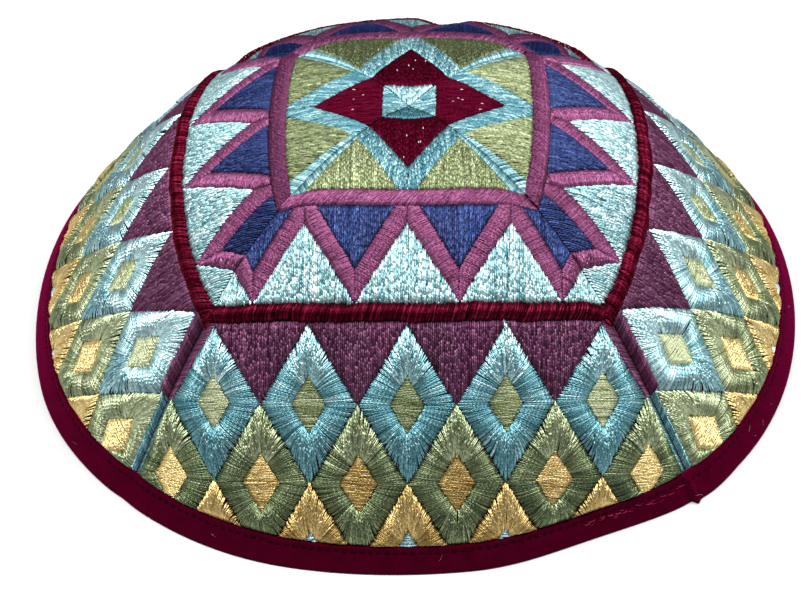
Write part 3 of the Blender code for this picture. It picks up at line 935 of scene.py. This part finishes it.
def tape_outline(azimuth, lap):
    """The tape's section as (up, lift) pairs, from the top of its outer leg round to its slot."""
    outer = TAPE_PROUD + lap
    slot_outer = TAPE_PROUD - TAPE_THICKNESS
    slot_inner = slot_outer - 2 * TOUCH_GAP - PANEL_EDGE_THICKNESS
    inner = slot_inner - TAPE_THICKNESS
    soft = TAPE_THICKNESS / 3
    turns = [(math.sin(turn), math.cos(turn)) for turn in np.radians((0, 22, 45, 68, 90))]
    pull = TOPSTITCH_PRESS * (0.65 - 0.35 * math.cos(TOPSTITCHES * azimuth))
    points = [(TAPE_WIDTH, slot_outer), (TAPE_WIDTH, outer - 2 * soft)]
    points += [(TAPE_WIDTH - soft + soft * cos, outer - soft + soft * sin) for sin, cos in turns]
    points += [(up, outer - pull * math.exp(-(((up - TOPSTITCH_UP) / PRESS_REACH) ** 2)))
               for up in OUTER_LEG]
    points += [(FOLD_ROUND * (1 - sin), outer - FOLD_ROUND * (1 - cos)) for sin, cos in turns]
    points += [(FOLD_ROUND * (1 - cos), inner + FOLD_ROUND * (1 - sin)) for sin, cos in turns]
    points += [(TAPE_WIDTH * share, inner) for share in INNER_LEG]
    points += [(TAPE_WIDTH - soft + soft * sin, inner + soft - soft * cos) for sin, cos in turns]
    points += [(TAPE_WIDTH, slot_inner), (TAPE_THICKNESS, slot_inner), (TAPE_THICKNESS, slot_outer)]
    return np.array(points)


turn_end = 2 * np.pi - FOLD_ROUND / RIM_RADIUS
azimuths = LAP_AZIMUTH + np.linspace(0, turn_end, TOPSTITCHES * COLUMNS_A_STITCH)
section = np.stack([tape_outline(azimuth, lap_lift(azimuth)) for azimuth in azimuths])
up, lift = section[..., 0], section[..., 1]
down = floor_share(azimuths[:, None], lift) - up / CROWN_LENGTH
places = crown(azimuths[:, None], down, lift)
places[..., 2] = np.where(up < TOUCHES_FLOOR, 0, places[..., 2])
walked = np.cumsum(np.hypot(np.diff(up[0], prepend=0), np.diff(lift[0], prepend=0)))
flat = np.stack(np.broadcast_arrays(azimuths[:, None] * RIM_RADIUS, walked[None, :]), -1)
mesh = grid_mesh("rim_binding", places, loops_across=True, loops_along=True, flat=flat)
place_piece("rim_binding", mesh, tape_cotton, ["rim_tape"])

# The sewing on the rim: a row of dark topstitches below the tape's upper edge, a few loose
# backstitches of brighter thread by the lap, where the row starts and ends, and bits of lint caught
# on the cotton.
THREAD_SIDES = 5
THREAD_END = 0.4


def on_tape(azimuth, up, above):
    """Places `above` the tape's outer face."""
    lift = TAPE_PROUD + lap_lift(azimuth) + above
    return crown(azimuth, floor_share(azimuth, lift) - up / CROWN_LENGTH, lift)


def round_threads(name, paths, radius, thread):
    """Round threads along paths (thread, point, 3), thinner at both ends."""
    along = np.gradient(paths, axis=1)
    along = along / np.linalg.norm(along, axis=-1, keepdims=True)
    aside = np.cross(along, paths)
    aside = aside / np.linalg.norm(aside, axis=-1, keepdims=True)
    outward = np.cross(aside, along)
    angle = np.linspace(0, 2 * np.pi, THREAD_SIDES, endpoint=False)[:, None]
    thick = np.ones(paths.shape[1])
    thick[[0, -1]] = THREAD_END
    around = aside[:, :, None] * np.cos(angle) + outward[:, :, None] * np.sin(angle)
    places = paths[:, :, None] + around * (radius * thick)[None, :, None, None]
    numbers = np.arange(places.size // 3).reshape(places.shape[:3])
    numbers = np.concatenate([numbers, numbers[:, :, :1]], axis=2)
    quads = np.stack([numbers[:, :-1, :-1], numbers[:, 1:, :-1], numbers[:, 1:, 1:],
                      numbers[:, :-1, 1:]], -1).reshape(-1, 4)
    mesh = threads_mesh(name, places, quads, rng.normal(0, 1, len(paths)))
    return place_piece(name, mesh, thread)


TOPSTITCH = (0.004, 0.0001, 0.001), (0.010, 0.0002, 0.002), (0.03, 0.001, 0.006)
TOPSTITCH_RADIUS = 0.00017
TOPSTITCH_SHARE = 0.72
TOPSTITCH_START = 0.14
TOPSTITCH_SINK = 0.00006
TOPSTITCH_DIVE = 0.00032
topstitch_thread = rayon("topstitch_thread", *TOPSTITCH, roughness=0.9, shine=0.0)
way = np.linspace(0, 1, 7)
sink = np.where(np.abs(way - 0.5) > 0.45, -TOPSTITCH_DIVE, -TOPSTITCH_SINK)
step = 2 * np.pi / TOPSTITCHES
starts = (np.arange(TOPSTITCHES) + TOPSTITCH_START + rng.normal(0, 0.03, TOPSTITCHES)) * step
stray = rng.normal(0, 0.00006, (TOPSTITCHES, 1))
paths = on_tape(starts[:, None] + TOPSTITCH_SHARE * step * way, TOPSTITCH_UP + stray, sink)
round_threads("topstitches", paths, TOPSTITCH_RADIUS, topstitch_thread)

BACKSTITCH = (0.09, 0.002, 0.016), (0.19, 0.005, 0.036), (0.36, 0.03, 0.09)
BACKSTITCH_RADIUS = 0.0001
BACKSTITCHES = 26
backstitch_thread = rayon("backstitch_thread", *BACKSTITCH, roughness=0.5, shine=0.5)
starts = LAP_AZIMUTH - rng.uniform(0.002, 0.026, (BACKSTITCHES, 1)) / RIM_RADIUS
spans = rng.uniform(0.0010, 0.0024, (BACKSTITCHES, 1)) / RIM_RADIUS
ups = TAPE_WIDTH - 0.0014 - rng.uniform(0, 0.0013, (BACKSTITCHES, 1))
tilts = rng.normal(0, 0.0003, (BACKSTITCHES, 1))
sink = 0.00012 - 0.0004 * np.abs(2 * way - 1) ** 6
paths = on_tape(starts + spans * way, ups + tilts * (way - 0.5), sink)
round_threads("backstitches", paths, BACKSTITCH_RADIUS, backstitch_thread)

LINT = (0.2, 0.07, 0.1), (0.36, 0.18, 0.22), (0.6, 0.45, 0.45)
LINT_RADIUS = 0.000022
LINT_BITS = 22
lint_fibre = rayon("lint_fibre", *LINT, roughness=0.9, shine=0.0)
starts = rng.uniform(0, 2 * np.pi, (LINT_BITS, 1))
curl = rng.normal(0, 1, (LINT_BITS, 3, 1))
spans = rng.uniform(0.0006, 0.0024, (LINT_BITS, 1)) / RIM_RADIUS
ups = rng.uniform(0.0012, 0.0042, (LINT_BITS, 1))
ups = ups + 0.0006 * (curl[:, 0] * way + curl[:, 1] * way**2)
paths = on_tape(starts + spans * (way + 0.3 * curl[:, 2] * way**2), ups, 0.00012 + 0.0001 * way)
round_threads("lint", paths, LINT_RADIUS, lint_fibre)

# The floor: a wide pale board with matt paint and no edge in sight. The cap's rim rests on it all
# the way round.
FLOOR_SIZE = 6
FLOOR_GREY = 0.66
bpy.ops.mesh.primitive_plane_add(size=FLOOR_SIZE, location=(0, 0, 0))
floor = bpy.context.object
floor.name = "floor"
floor.data.materials.append(textile("floor_paint", lambda wire: {}, {
    "Base Color": (FLOOR_GREY, FLOOR_GREY, FLOOR_GREY, 1), "Roughness": 0.9}))

# The light: three softboxes, one overhead and one at either side, a little behind the cap, and a
# weak even glow from the room around them.
ROOM_GLOW = 0.2
BOX_AIM = (0, 0, 0.03)
scene = bpy.context.scene
scene.view_settings.view_transform = "Standard"
world = bpy.data.worlds.new("studio")
scene.world = world
world.use_nodes = True
world.node_tree.nodes["Background"].inputs["Color"].default_value = (1, 1, 1, 1)
world.node_tree.nodes["Background"].inputs["Strength"].default_value = ROOM_GLOW


def softbox(name, place, size, power):
    light = bpy.data.lights.new(name, "AREA")
    light.shape = "RECTANGLE"
    light.size, light.size_y = size
    light.energy = power
    made = bpy.data.objects.new(name, light)
    made.location = place
    made.rotation_euler = (Vector(BOX_AIM) - Vector(place)).to_track_quat("-Z", "Y").to_euler()
    scene.collection.objects.link(made)


softbox("top_softbox", (0.0, -0.1, 0.95), (0.4, 0.25), 5.8)
softbox("left_softbox", (-0.6, 0.14, 0.77), (0.4, 0.4), 6.4)
softbox("right_softbox", (0.6, 0.14, 0.77), (0.4, 0.4), 7.3)

# The camera: the photograph's, found from the outline and some 90 points of the pattern. It looks
# down at the front, turned and rolled a little. CAMERA_FOCUS is in pixels of the photograph.
CAMERA_ELEVATION = 0.7129
CAMERA_DISTANCE = 0.762
CAMERA_AIM = (-0.0021, 0.0, 0.00316)
CAMERA_ROLL = -0.0291
CAMERA_TURN = 0.0364
CAMERA_FOCUS = 3440.6
PHOTO_WIDTH = 810
SENSOR_WIDTH = 36
back = Vector((0, -math.cos(CAMERA_ELEVATION), math.sin(CAMERA_ELEVATION)))
right = Vector((1, 0, 0))
upward = right.cross(-back)
camera = bpy.data.objects.new("camera", bpy.data.cameras.new("camera"))
scene.collection.objects.link(camera)
camera.data.sensor_width = SENSOR_WIDTH
camera.data.lens = CAMERA_FOCUS * SENSOR_WIDTH / PHOTO_WIDTH
camera.data.clip_start = 0.05
axes = Matrix((
    math.cos(CAMERA_ROLL) * right + math.sin(CAMERA_ROLL) * upward,
    -math.sin(CAMERA_ROLL) * right + math.cos(CAMERA_ROLL) * upward,
    back,
)).transposed().to_4x4()
stand = Matrix.Translation(Vector(CAMERA_AIM) + back * CAMERA_DISTANCE) @ axes
camera.matrix_world = Matrix.Rotation(CAMERA_TURN, 4, "Z") @ stand
scene.camera = camera
